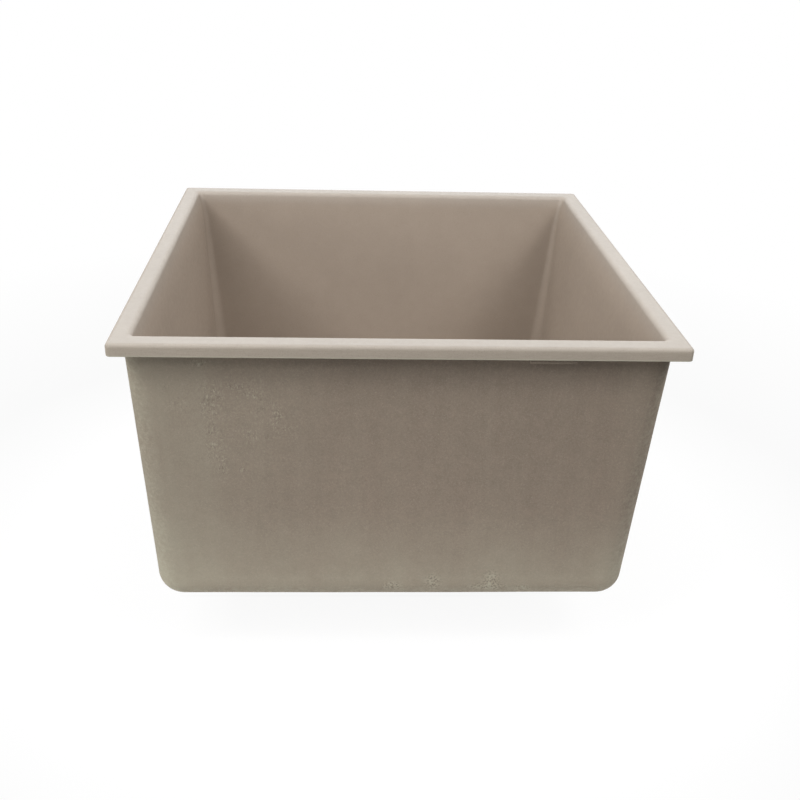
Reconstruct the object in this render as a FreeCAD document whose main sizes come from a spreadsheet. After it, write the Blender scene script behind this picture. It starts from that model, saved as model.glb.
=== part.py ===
import FreeCAD, Part
import math
import os
import Sketcher

# An undermount sink cast in granite composite, with its basket strainer.
# Millimetres, +Z up, front of the sink towards -Y.
# Origin: middle of the bowl's mouth, on the plane of the rim's top face.

SIZES = [
    # the casting
    ("rim_width", 432.0, "rim from side to side"),
    ("rim_depth", 432.0, "rim from front to back"),
    ("rim_thickness", 10.0, "height of the rim's edge"),
    ("rim_edge_radius", 3.0, "rounding of the rim's outer top edge"),
    ("rim_corner_margin", 1.0, "plan radius of the rim's corners past its edge rounding"),
    ("rim_mouth_radius", 8.0, "rounding from the rim into the bowl"),
    ("side_overhang", 7.5, "rim past the side walls"),
    ("front_overhang", 10.9, "rim past the front and back walls"),
    ("rim_fillet", 2.0, "fillet between walls and rim underneath"),
    ("wall_thickness", 9.3, "front and back walls under the rim"),
    ("side_wall_thickness", 12.3, "side walls under the rim"),
    ("wall_draft", 2.3, "lean of the walls outside, degrees"),
    ("inner_draft", 3.7, "lean of the walls inside, degrees"),
    ("bowl_height", 246.4, "rim's top face down to the base"),
    ("outer_corner_radius", 18.5, "upright corners outside, under the rim"),
    ("inner_corner_radius", 5.0, "upright corners inside, at the mouth"),
    ("base_radius", 20.0, "rounding of the base edge outside"),
    ("floor_radius", 10.0, "rounding of the floor edge inside"),
    ("corner_blend", 4.0, "upright corner radius over the edge radius it meets"),
    ("floor_thickness", 13.0, "base up to the edge of the floor"),
    ("floor_fall", 3.0, "drop of the floor to the drain"),
    ("gate_width", 35.8, "trimmed casting gate under the front rim, width"),
    ("gate_height", 3.8, "trimmed casting gate, height"),
    ("gate_setback", 2.5, "trimmed casting gate behind the rim's edge"),
    ("gate_position", 112.4, "trimmed casting gate right of the middle"),
    # the drain opening in the floor
    ("drain_hole_clearance", 3.0, "hole through the floor past the strainer's cup"),
    ("drain_seat_clearance", 1.0, "play round the strainer's flange"),
    ("drain_seat_depth", 3.0, "recess for the strainer's flange"),
    ("drain_land", 4.0, "flat ring round the recess"),
    # strainer, fixed part
    ("fit_gap", 0.3, "gap between fixed round pieces"),
    ("run_gap", 0.3, "gap kept between moving pieces and their stops"),
    ("strainer_sheet", 1.2, "sheet of the strainer's shell"),
    ("flange_diameter", 114.0, "strainer's flange"),
    ("flange_width", 15.0, "flange past the cup"),
    ("shoulder_radius", 5.0, "shoulder from flange to cup"),
    ("cup_corner_radius", 5.0, "bottom corner of the cup"),
    ("seal_thickness", 1.2, "seal under the flange"),
    ("gasket_margin", 1.0, "rubber gasket past the flange"),
    ("gasket_thickness", 4.0, "rubber gasket under the base"),
    ("friction_margin", 1.0, "friction ring inside the flange's edge"),
    ("friction_thickness", 1.0, "friction ring"),
    ("nut_margin", 4.0, "lock nut inside the flange's edge"),
    ("nut_height", 11.0, "lock nut"),
    ("lug_reach", 4.5, "lugs of the lock nut"),
    ("lug_width", 9.0, "lugs of the lock nut"),
    ("lug_count", 8, "lugs of the lock nut"),
    ("spigot_diameter", 47.8, "outlet thread outside"),
    ("spigot_wall", 3.4, "wall of the outlet, up to the hole in the cup's floor"),
    ("spigot_length", 18.0, "outlet below the cup"),
    ("spigot_flange_width", 5.1, "collar brazed under the cup, past the thread"),
    ("spigot_flange_thickness", 2.0, "collar brazed under the cup"),
    ("spigot_ledge", 2.0, "ledge that carries the cross"),
    ("cross_thickness", 2.0, "guide cross in the outlet"),
    ("cross_rim", 2.5, "width of the cross's rim"),
    ("cross_arm", 3.5, "width of the cross's arms"),
    ("cross_hub_diameter", 12.0, "hub of the cross"),
    # basket and stopper
    ("basket_sheet", 0.8, "sheet of the basket"),
    ("basket_rim_rest", 1.5, "basket rim past the cup's outside"),
    ("basket_wall_gap", 1.2, "basket wall to the cup's inside"),
    ("basket_depth", 30.0, "flange top down to the basket's floor"),
    ("basket_taper", 9.0, "basket's floor inside the cup's outside"),
    ("basket_bend", 3.0, "bends of the basket"),
    ("hole_diameter", 4.4, "drain holes of the basket"),
    ("inner_ring_margin", 4.0, "inner ring of holes past the hub's flange"),
    ("outer_ring_margin", 6.5, "outer ring of holes inside the basket's wall"),
    ("inner_ring_count", 8, "holes in the inner ring"),
    ("middle_ring_count", 12, "holes in the middle ring"),
    ("outer_ring_count", 16, "holes in the outer ring"),
    ("side_ring_count", 18, "holes round the wall"),
    ("side_ring_height", 12.0, "wall holes above the basket's floor"),
    ("hub_diameter", 12.0, "hub where it passes the basket's floor"),
    ("hub_barrel_diameter", 14.0, "barrel of the hub above its flange"),
    ("hub_flange_diameter", 19.0, "flange of the basket's hub"),
    ("hub_flange_thickness", 2.0, "flange of the basket's hub"),
    ("hub_height", 10.0, "hub above the basket's floor"),
    ("hub_ring_thickness", 1.2, "ring that keeps the hub in the basket"),
    ("grip_section", 1.8, "section of the grip ring"),
    ("post_diameter", 6.0, "stopper post"),
    ("slide_gap", 0.08, "radial play of the post in its guides"),
    ("collar_diameter", 10.0, "collar of the post"),
    ("collar_height", 1.5, "collar of the post"),
    ("stopper_travel", 8.0, "stopper from open to shut"),
    ("plate_overlap", 1.5, "stopper's plate past the hole in the cup's floor"),
    ("plate_thickness", 1.2, "plate that backs the stopper's seal"),
    ("stopper_overlap", 6.5, "stopper's seal past the hole in the cup's floor"),
    ("stopper_thickness", 4.0, "stopper's seal"),
    ("stopper_nut_size", 10.0, "hexagon across flats"),
    ("stopper_nut_height", 4.0, "nut under the stopper"),
    ("knob_diameter", 22.0, "lift knob"),
    ("knob_neck_diameter", 12.0, "foot of the lift knob"),
    ("knob_waist_diameter", 9.6, "waist of the lift knob"),
    ("knob_waist_height", 3.0, "waist above the knob's foot"),
    ("knob_height", 10.5, "lift knob"),
    ("knob_cap", 5.5, "height of the knob's head"),
    ("knob_flank", 1.65, "height of the knob's head under its domed top"),
    ("knob_bore_depth", 7.3, "post in the knob"),
    ("tip_margin", 0.5, "outlet past the post's tip when shut"),
]

Vector = FreeCAD.Vector
ROOT_POINT = (-1, 1)
START, END, MIDDLE = range(1, 4)


class Size:
    """A number together with the sheet formula that gives it."""

    def __init__(self, value, formula):
        self.value = value
        self.formula = formula

    def __add__(self, other):
        other = as_size(other)
        return Size(self.value + other.value, f"({self.formula} + {other.formula})")

    def __sub__(self, other):
        other = as_size(other)
        return Size(self.value - other.value, f"({self.formula} - {other.formula})")

    def __mul__(self, other):
        other = as_size(other)
        return Size(self.value * other.value, f"({self.formula} * {other.formula})")

    def __truediv__(self, other):
        other = as_size(other)
        return Size(self.value / other.value, f"({self.formula} / {other.formula})")

    def __neg__(self):
        return Size(-self.value, f"(-1 * {self.formula})")


def as_size(number):
    return number if isinstance(number, Size) else Size(number, str(number))


def tangent(angle):
    return Size(math.tan(math.radians(angle.value)), f"tan({angle.formula} * 1 deg)")


def root(size):
    return Size(math.sqrt(size.value), f"sqrt({size.formula})")


doc = FreeCAD.newDocument("composite_sink")
sheet = doc.addObject("Spreadsheet::Sheet", "Sizes")
for row, (alias, number, note) in enumerate(SIZES, start=1):
    sheet.set(f"A{row}", alias)
    sheet.set(f"B{row}", str(number))
    sheet.set(f"C{row}", note)
    sheet.setAlias(f"B{row}", alias)
doc.recompute()


def size(alias):
    return Size(float(sheet.get(alias)), f"Sizes.{alias}")


def new_body(label):
    body = doc.addObject("PartDesign::Body", label)
    body.Label = label
    return body


def new_sketch(body, name, role, offset=None):
    plane = next(f for f in body.Origin.OriginFeatures if f.Role == role)
    sketch = body.newObject("Sketcher::SketchObject", f"{body.Label}_{name}")
    sketch.AttachmentSupport = (plane, [""])
    sketch.MapMode = "FlatFace"
    if offset is not None:
        sketch.AttachmentOffset = FreeCAD.Placement(Vector(0, 0, offset.value), FreeCAD.Rotation())
        sketch.setExpression("AttachmentOffset.Base.z", offset.formula)
    return sketch


def bind_constraint(sketch, constraint, dimension):
    index = sketch.addConstraint(constraint)
    sketch.setExpression(f"Constraints[{index}]", dimension.formula)


def pin(sketch, geometry, corner, x, y):
    """Holds a point of the sketch at x, y from the sketch's origin."""
    point = (geometry, corner)
    bind_constraint(sketch, Sketcher.Constraint("DistanceX", *ROOT_POINT, *point, x.value), x)
    bind_constraint(sketch, Sketcher.Constraint("DistanceY", *ROOT_POINT, *point, y.value), y)


def join(sketch, first, first_corner, second, second_corner):
    sketch.addConstraint(Sketcher.Constraint("Coincident", first, first_corner, second, second_corner))


def outline(sketch, points, arcs=None):
    """Closed outline through the points; arcs maps a segment to its radius and turning sense."""
    arcs = arcs or {}
    count = len(points)
    ends = []
    for i, (x, y) in enumerate(points):
        following = points[(i + 1) % count]
        a = Vector(x.value, y.value, 0)
        b = Vector(following[0].value, following[1].value, 0)
        if i not in arcs:
            ends.append((sketch.addGeometry(Part.LineSegment(a, b), False), START, END))
            continue
        radius, left_turn = arcs[i]
        chord = b - a
        across = Vector(-chord.y, chord.x, 0).normalize() * (1 if left_turn else -1)
        rise = math.sqrt(max(radius.value ** 2 - (chord.Length / 2) ** 2, 0))
        centre = (a + b) * 0.5 + across * rise
        first, last = (a, b) if left_turn else (b, a)
        angle_0 = math.atan2(first.y - centre.y, first.x - centre.x)
        angle_1 = math.atan2(last.y - centre.y, last.x - centre.x)
        circle = Part.Circle(centre, Vector(0, 0, 1), radius.value)
        geometry = sketch.addGeometry(Part.ArcOfCircle(circle, angle_0, angle_1), False)
        ends.append((geometry, START, END) if left_turn else (geometry, END, START))
    for i, (geometry, first, last) in enumerate(ends):
        following = ends[(i + 1) % count]
        join(sketch, geometry, last, following[0], following[1])
        pin(sketch, geometry, first, *points[i])
        if i in arcs:
            radius = arcs[i][0]
            bind_constraint(sketch, Sketcher.Constraint("Radius", geometry, radius.value), radius)


def rounded_rectangle(sketch, width, depth, radius):
    w, d, r = width.value / 2, depth.value / 2, radius.value
    front, right = ((r - w, -d), (w - r, -d)), ((w, r - d), (w, d - r))
    back, left = ((w - r, d), (r - w, d)), ((-w, d - r), (-w, r - d))
    sides = [front, right, back, left]
    middles = [(w - r, r - d), (w - r, d - r), (r - w, d - r), (r - w, r - d)]
    for i in range(4):
        a, b = sides[i]
        sketch.addGeometry(Part.LineSegment(Vector(*a, 0), Vector(*b, 0)), False)
        turn = math.radians(90 * i - 90)
        circle = Part.Circle(Vector(*middles[i], 0), Vector(0, 0, 1), r)
        sketch.addGeometry(Part.ArcOfCircle(circle, turn, turn + math.pi / 2), False)
    for i in range(4):
        line, arc, following = 2 * i, 2 * i + 1, (2 * i + 2) % 8
        sketch.addConstraint(Sketcher.Constraint("Tangent", line, END, arc, START))
        sketch.addConstraint(Sketcher.Constraint("Tangent", arc, END, following, START))
        sketch.addConstraint(Sketcher.Constraint("Vertical" if i % 2 else "Horizontal", line))
    for arc in (3, 5, 7):
        sketch.addConstraint(Sketcher.Constraint("Equal", 1, arc))
    bind_constraint(sketch, Sketcher.Constraint("Radius", 1, r), radius)
    bind_constraint(sketch, Sketcher.Constraint("DistanceX", 6, START, 2, START, 2 * w), width)
    bind_constraint(sketch, Sketcher.Constraint("DistanceY", 0, START, 4, START, 2 * d), depth)
    sketch.addConstraint(Sketcher.Constraint("Symmetric", 1, MIDDLE, 5, MIDDLE, *ROOT_POINT))


def circle(sketch, radius, x=None, y=None):
    """A circle on the sketch's origin, or moved along x or y."""
    at = Vector(x.value if x else 0, y.value if y else 0, 0)
    geometry = sketch.addGeometry(Part.Circle(at, Vector(0, 0, 1), radius.value), False)
    bind_constraint(sketch, Sketcher.Constraint("Radius", geometry, radius.value), radius)
    if not x and not y:
        join(sketch, geometry, MIDDLE, *ROOT_POINT)
        return
    axis = "DistanceX" if x else "DistanceY"
    along = x if x else y
    bind_constraint(sketch, Sketcher.Constraint(axis, *ROOT_POINT, geometry, MIDDLE, along.value), along)
    rail = -1 if x else -2
    sketch.addConstraint(Sketcher.Constraint("PointOnObject", geometry, MIDDLE, rail))


def rectangle(sketch, left, right, low, high):
    outline(sketch, [(left, low), (right, low), (right, high), (left, high)])


def add_feature(body, kind, name, **properties):
    feature = body.newObject(f"PartDesign::{kind}", f"{body.Label}_{name}")
    for key, item in properties.items():
        if isinstance(item, Size):
            setattr(feature, key, int(item.value) if key == "Occurrences" else item.value)
            feature.setExpression(key, item.formula)
        else:
            setattr(feature, key, item)
    doc.recompute()
    body.Tip = feature
    return feature


def pad(body, name, sketch, length, down=False):
    return add_feature(body, "Pad", name, Profile=sketch, Length=length, Reversed=down)


def pocket(body, name, sketch, length, up=False):
    before = body.Shape.Volume
    feature = add_feature(body, "Pocket", name, Profile=sketch, Length=length, Reversed=up)
    if feature.Shape.Volume >= before - 1e-3:
        raise RuntimeError(f"{body.Label}: {name} takes nothing away")
    return feature


def turned(body, name, points, arcs=None):
    sketch = new_sketch(body, f"{name}_outline", "XZ_Plane")
    outline(sketch, points, arcs)
    axis = (sketch, ["V_Axis"])
    return add_feature(body, "Revolution", name, Profile=sketch, ReferenceAxis=axis, Angle=360.0)


def round_pattern(body, name, feature, count):
    axis = next(f for f in body.Origin.OriginFeatures if f.Role == "Z_Axis")
    return add_feature(
        body, "PolarPattern", name, Originals=[feature], Axis=(axis, [""]), Angle=360.0, Occurrences=count)


def fillet(body, name, base, edges, radius):
    if not edges:
        raise RuntimeError(f"{body.Label}: no edges for {name}")
    return add_feature(body, "Fillet", name, Base=(base, edges), Radius=radius)


def level_edges(feature, level, reach=None, tolerance=0.02):
    """Edges that lie flat on a level; reach(x, y) can choose among them."""
    names = []
    for i, edge in enumerate(feature.Shape.Edges, start=1):
        box = edge.BoundBox
        if abs(box.ZMin - level) > tolerance or abs(box.ZMax - level) > tolerance:
            continue
        middle = edge.valueAt((edge.FirstParameter + edge.LastParameter) / 2)
        if reach is None or reach(abs(middle.x), abs(middle.y)):
            names.append(f"Edge{i}")
    return names


def ring_edges(feature, level, radius, tolerance=0.05):
    """Round edges on a level with the given radius about the Z axis."""
    names = []
    for i, edge in enumerate(feature.Shape.Edges, start=1):
        box = edge.BoundBox
        if abs(box.ZMin - level) > tolerance or abs(box.ZMax - level) > tolerance:
            continue
        if abs(math.hypot(*edge.valueAt(edge.FirstParameter)[:2]) - radius) < tolerance:
            names.append(f"Edge{i}")
    return names


def ring(label, inner, outer, low, high):
    body = new_body(label)
    turned(body, "ring", [(inner, low), (outer, low), (outer, high), (inner, high)])
    return body


# levels and radii shared between pieces
half_width = size("rim_width") / 2
half_depth = size("rim_depth") / 2
rim_low = -size("rim_thickness")
base_level = -size("bowl_height")
floor_edge = base_level + size("floor_thickness")
drain_level = floor_edge - size("floor_fall")
seat_level = drain_level - size("drain_seat_depth")
flange_low = seat_level + size("seal_thickness")
flange_top = flange_low + size("strainer_sheet")
flange_radius = size("flange_diameter") / 2
cup_radius = flange_radius - size("flange_width")
cup_inside = cup_radius - size("strainer_sheet")
throat_radius = size("spigot_diameter") / 2 - size("spigot_wall")
shoulder = size("shoulder_radius")
shoulder_axis = cup_radius + shoulder
shoulder_low = flange_low - shoulder

basket_floor = flange_top - size("basket_depth")
basket_low = basket_floor - size("basket_sheet")
hub_ring_low = basket_low - size("hub_ring_thickness")
collar_top = hub_ring_low - size("run_gap")
plate_top = collar_top - size("collar_height")
plate_low = plate_top - size("plate_thickness")
stopper_low = plate_low - size("stopper_thickness")
stopper_nut_low = stopper_low - size("stopper_nut_height")
cup_floor = stopper_low - size("stopper_travel") - size("run_gap")
shell_low = cup_floor - size("strainer_sheet")
spigot_end = shell_low - size("spigot_length")
ledge_level = spigot_end + size("stopper_travel") + size("tip_margin")

hub_top = basket_floor + size("hub_height")
knob_low = hub_top + size("stopper_travel") + size("run_gap")
knob_top = knob_low + size("knob_height")
post_radius = size("post_diameter") / 2
slide_radius = post_radius + size("slide_gap")
hub_radius = size("hub_diameter") / 2


def wall_section(body, name, level, draft, sides, front, radius):
    """A rounded rectangle across the bowl, inset from the rim's edges and by the walls' lean."""
    sketch = new_sketch(body, name, "XY_Plane", level)
    lean = (rim_low - level) * tangent(size(draft))
    width = size("rim_width") - (sides + lean) * 2
    depth = size("rim_depth") - (front + lean) * 2
    rounded_rectangle(sketch, width, depth, radius)
    return sketch


def outer_section(body, name, level, radius):
    sides = size("side_overhang")
    front = size("front_overhang")
    return wall_section(body, name, level, "wall_draft", sides, front, radius)


def inner_section(body, name, level, inset, radius):
    sides = size("side_overhang") + size("side_wall_thickness") + inset
    front = size("front_overhang") + size("wall_thickness") + inset
    return wall_section(body, name, level, "inner_draft", sides, front, radius)


def make_bowl():
    body = new_body("bowl")
    none = as_size(0)
    blend = size("corner_blend")
    rim_corner = size("rim_edge_radius") + size("rim_corner_margin")

    sketch = new_sketch(body, "rim_outline", "XY_Plane")
    rounded_rectangle(sketch, size("rim_width"), size("rim_depth"), rim_corner)
    pad(body, "rim", sketch, size("rim_thickness"), down=True)

    upper = outer_section(body, "outer_top", rim_low, size("outer_corner_radius"))
    lower = outer_section(body, "outer_base", base_level, size("base_radius") + blend)
    feature = add_feature(body, "AdditiveLoft", "outside", Profile=upper, Sections=[lower], Ruled=True)
    edges = level_edges(feature, base_level.value)
    feature = fillet(body, "base_rounding", feature, edges, size("base_radius"))

    upper = inner_section(body, "inner_mouth", none, none, size("inner_corner_radius"))
    lower = inner_section(body, "inner_floor", floor_edge, none, size("floor_radius") + blend)
    feature = add_feature(body, "SubtractiveLoft", "inside", Profile=upper, Sections=[lower], Ruled=True)
    edges = level_edges(feature, floor_edge.value)
    feature = fillet(body, "floor_rounding", feature, edges, size("floor_radius"))

    # halfway out under the rim, between the walls and the rim's edge
    near_x = (half_width - size("side_overhang") / 2).value
    near_y = (half_depth - size("front_overhang") / 2).value
    inner = level_edges(feature, 0, lambda x, y: x < near_x and y < near_y)
    feature = fillet(body, "mouth_rounding", feature, inner, size("rim_mouth_radius"))
    outer = level_edges(feature, 0, lambda x, y: x > near_x or y > near_y)
    feature = fillet(body, "edge_rounding", feature, outer, size("rim_edge_radius"))
    under = level_edges(feature, rim_low.value, lambda x, y: x < near_x and y < near_y)
    feature = fillet(body, "rim_fillet", feature, under, size("rim_fillet"))

    # the floor falls from a rounded square to a ring round the drain
    upper = inner_section(body, "fall_edge", floor_edge, size("floor_radius"), blend)
    lower = new_sketch(body, "fall_drain", "XY_Plane", drain_level)
    land = size("flange_diameter") + (size("drain_seat_clearance") + size("drain_land")) * 2
    nearly_round = land / 2 - size("drain_seat_clearance") / 2
    rounded_rectangle(lower, land, land, nearly_round)
    add_feature(body, "SubtractiveLoft", "fall", Profile=upper, Sections=[lower], Ruled=True)

    sketch = new_sketch(body, "drain_seat", "XY_Plane", drain_level)
    circle(sketch, flange_radius + size("drain_seat_clearance"))
    pocket(body, "seat", sketch, size("drain_seat_depth"))
    sketch = new_sketch(body, "drain_hole", "XY_Plane", drain_level)
    circle(sketch, cup_radius + size("drain_hole_clearance"))
    pocket(body, "drain", sketch, size("floor_thickness"))

    sketch = new_sketch(body, "gate_outline", "XY_Plane", rim_low)
    left = size("gate_position") - size("gate_width") / 2
    right = size("gate_position") + size("gate_width") / 2
    front = size("gate_setback") - half_depth
    root_depth = size("wall_thickness") / 3
    back = size("front_overhang") + root_depth - half_depth
    rectangle(sketch, left, right, front, back)
    pad(body, "gate", sketch, size("gate_height"), down=True)
    return body


def make_shell():
    body = new_body("strainer_shell")
    sheet_gauge = size("strainer_sheet")
    lip_low = seat_level + size("fit_gap")
    lip_radius = flange_radius - sheet_gauge
    points = [
        (flange_radius, lip_low),
        (flange_radius, flange_top),
        (shoulder_axis, flange_top),
        (cup_inside, shoulder_low),
        (cup_inside, cup_floor),
        (throat_radius, cup_floor),
        (throat_radius, shell_low),
        (cup_radius, shell_low),
        (cup_radius, shoulder_low),
        (shoulder_axis, flange_low),
        (lip_radius, flange_low),
        (lip_radius, lip_low),
    ]
    arcs = {2: (shoulder + sheet_gauge, True), 8: (shoulder, False)}
    feature = turned(body, "shell", points, arcs)
    corner = size("cup_corner_radius")
    edges = ring_edges(feature, cup_floor.value, cup_inside.value)
    feature = fillet(body, "inner_corner", feature, edges, corner)
    edges = ring_edges(feature, shell_low.value, cup_radius.value)
    feature = fillet(body, "outer_corner", feature, edges, corner + sheet_gauge)
    edges = ring_edges(feature, flange_top.value, flange_radius.value)
    fillet(body, "flange_edge", feature, edges, sheet_gauge / 2)
    return body


def make_spigot():
    body = new_body("outlet_spigot")
    outer = size("spigot_diameter") / 2
    collar = outer + size("spigot_flange_width")
    collar_low = shell_low - size("spigot_flange_thickness")
    lower_bore = throat_radius - size("spigot_ledge")
    points = [
        (lower_bore, spigot_end),
        (outer, spigot_end),
        (outer, collar_low),
        (collar, collar_low),
        (collar, shell_low),
        (throat_radius, shell_low),
        (throat_radius, ledge_level),
        (lower_bore, ledge_level),
    ]
    turned(body, "spigot", points)
    return body


def make_cross():
    body = new_body("guide_cross")
    outer = throat_radius - size("fit_gap") / 2
    inner = outer - size("cross_rim")
    reach = outer - size("cross_rim") / 2
    arm = size("cross_arm") / 2
    thick = size("cross_thickness")
    sketch = new_sketch(body, "rim_outline", "XY_Plane", ledge_level)
    circle(sketch, outer)
    circle(sketch, inner)
    pad(body, "rim", sketch, thick)
    sketch = new_sketch(body, "arm_x_outline", "XY_Plane", ledge_level)
    rectangle(sketch, -reach, reach, -arm, arm)
    pad(body, "arm_x", sketch, thick)
    sketch = new_sketch(body, "arm_y_outline", "XY_Plane", ledge_level)
    rectangle(sketch, -arm, arm, -reach, reach)
    pad(body, "arm_y", sketch, thick)
    sketch = new_sketch(body, "hub_outline", "XY_Plane", ledge_level)
    circle(sketch, size("cross_hub_diameter") / 2)
    pad(body, "hub", sketch, thick)
    sketch = new_sketch(body, "hub_hole", "XY_Plane", ledge_level + thick)
    circle(sketch, post_radius + size("run_gap"))
    pocket(body, "hole", sketch, thick)
    return body


def make_lock_nut():
    body = new_body("lock_nut")
    top = base_level - size("gasket_thickness") - size("friction_thickness")
    low = top - size("nut_height")
    inner = cup_radius + size("fit_gap")
    outer = flange_radius - size("nut_margin")
    turned(body, "ring", [(inner, low), (outer, low), (outer, top), (inner, top)])
    sketch = new_sketch(body, "lug_outline", "XY_Plane", low)
    half = size("lug_width") / 2
    rectangle(sketch, (inner + outer) / 2, outer + size("lug_reach"), -half, half)
    feature = pad(body, "lug", sketch, size("nut_height"))
    round_pattern(body, "lugs", feature, size("lug_count"))
    return body


def make_basket():
    body = new_body("basket")
    gauge = size("basket_sheet")
    rim_radius = cup_radius + size("basket_rim_rest")
    arc_radius = shoulder + size("strainer_sheet")
    from_axis = shoulder_axis - rim_radius
    rim_low_level = shoulder_low + root(arc_radius * arc_radius - from_axis * from_axis) + size("run_gap")
    wall_top = cup_inside - size("basket_wall_gap")
    wall_foot = cup_radius - size("basket_taper")
    hole = hub_radius + size("fit_gap") / 3
    points = [
        (hole, basket_low),
        (wall_foot, basket_low),
        (wall_top, rim_low_level),
        (rim_radius, rim_low_level),
        (rim_radius, rim_low_level + gauge),
        (wall_top - gauge, rim_low_level + gauge),
        (wall_foot - gauge, basket_floor),
        (hole, basket_floor),
    ]
    feature = turned(body, "cup", points)
    bend = size("basket_bend")
    edges = ring_edges(feature, basket_floor.value, wall_foot.value - gauge.value)
    feature = fillet(body, "bend_floor_inside", feature, edges, bend)
    edges = ring_edges(feature, basket_low.value, wall_foot.value)
    feature = fillet(body, "bend_floor_outside", feature, edges, bend + gauge)
    edges = ring_edges(feature, rim_low_level.value + gauge.value, wall_top.value - gauge.value)
    feature = fillet(body, "bend_rim", feature, edges, bend / 2)
    radius = size("hole_diameter") / 2
    inner_ring = size("hub_flange_diameter") / 2 + size("inner_ring_margin")
    outer_ring = wall_foot - size("outer_ring_margin")
    rings = {"inner": inner_ring, "middle": (inner_ring + outer_ring) / 2, "outer": outer_ring}
    for which, ring_radius in rings.items():
        sketch = new_sketch(body, f"{which}_hole", "XY_Plane", basket_floor)
        circle(sketch, radius, x=ring_radius)
        feature = pocket(body, f"{which}_drill", sketch, gauge * 2)
        round_pattern(body, f"{which}_ring", feature, size(f"{which}_ring_count"))
    sketch = new_sketch(body, "side_hole", "XZ_Plane")
    circle(sketch, radius, y=basket_floor + size("side_ring_height"))
    feature = pocket(body, "side_drill", sketch, cup_radius)
    round_pattern(body, "side_ring", feature, size("side_ring_count"))
    return body


def make_hub():
    body = new_body("basket_hub")
    flange_high = basket_floor + size("hub_flange_thickness")
    flange = size("hub_flange_diameter") / 2
    barrel = size("hub_barrel_diameter") / 2
    groove_low = basket_floor + size("hub_height") / 2
    groove_high = groove_low + size("grip_section") + size("slide_gap") * 2
    groove = slide_radius + size("grip_section") + size("slide_gap")
    points = [
        (slide_radius, hub_ring_low),
        (hub_radius, hub_ring_low),
        (hub_radius, basket_floor),
        (flange, basket_floor),
        (flange, flange_high),
        (barrel, flange_high),
        (barrel, hub_top),
        (slide_radius, hub_top),
        (slide_radius, groove_high),
        (groove, groove_high),
        (groove, groove_low),
        (slide_radius, groove_low),
    ]
    turned(body, "hub", points)
    return body


def make_grip_ring():
    body = new_body("grip_ring")
    section = size("grip_section") / 2
    centre_x = slide_radius + section
    centre_z = basket_floor + size("hub_height") / 2 + size("slide_gap") + section
    sketch = new_sketch(body, "section", "XZ_Plane")
    at = Vector(centre_x.value, centre_z.value, 0)
    geometry = sketch.addGeometry(Part.Circle(at, Vector(0, 0, 1), section.value), False)
    bind_constraint(sketch, Sketcher.Constraint("Radius", geometry, section.value), section)
    pin(sketch, geometry, MIDDLE, centre_x, centre_z)
    axis = (sketch, ["V_Axis"])
    add_feature(body, "Revolution", "ring", Profile=sketch, ReferenceAxis=axis, Angle=360.0)
    return body


def make_post():
    body = new_body("stopper_post")
    axis = as_size(0)
    collar = size("collar_diameter") / 2
    chamfer = post_radius / 3
    bore_top = knob_low + size("knob_bore_depth")
    points = [
        (axis, ledge_level),
        (post_radius - chamfer, ledge_level),
        (post_radius, ledge_level + chamfer),
        (post_radius, plate_top),
        (collar, plate_top),
        (collar, collar_top),
        (post_radius, collar_top),
        (post_radius, bore_top),
        (axis, bore_top),
    ]
    turned(body, "post", points)
    return body


def make_knob():
    body = new_body("lift_knob")
    axis = as_size(0)
    neck = size("knob_neck_diameter") / 2
    waist = size("knob_waist_diameter") / 2
    head = size("knob_diameter") / 2
    cap_low = knob_top - size("knob_cap")
    bore = post_radius + size("slide_gap") / 2
    bore_top = knob_low + size("knob_bore_depth")
    points = [
        (axis, bore_top),
        (bore, bore_top),
        (bore, knob_low),
        (neck, knob_low),
        (waist, knob_low + size("knob_waist_height")),
        (head, cap_low),
        (head, knob_top),
        (axis, knob_top),
    ]
    feature = turned(body, "knob", points)
    flank = size("knob_flank")
    edges = ring_edges(feature, knob_top.value, head.value)
    feature = fillet(body, "head_rounding", feature, edges, size("knob_cap") - flank)
    edges = ring_edges(feature, cap_low.value, head.value)
    fillet(body, "head_edge", feature, edges, flank / 2)
    return body


def make_stopper_seal():
    body = new_body("stopper_seal")
    outer = throat_radius + size("stopper_overlap")
    taper = size("stopper_thickness") / 2
    points = [
        (slide_radius, stopper_low),
        (outer - taper, stopper_low),
        (outer, stopper_low + taper),
        (outer, plate_low),
        (slide_radius, plate_low),
    ]
    turned(body, "seal", points)
    return body


def make_stopper_nut():
    body = new_body("stopper_nut")
    flat = size("stopper_nut_size") / 2
    point = flat / math.cos(math.pi / 6)
    half_side = point / 2
    middle = as_size(0)
    sketch = new_sketch(body, "hexagon", "XY_Plane", stopper_nut_low)
    corners = [
        (half_side, -flat),
        (point, middle),
        (half_side, flat),
        (-half_side, flat),
        (-point, middle),
        (-half_side, -flat),
    ]
    outline(sketch, corners)
    circle(sketch, slide_radius)
    pad(body, "nut", sketch, size("stopper_nut_height"))
    return body


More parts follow.
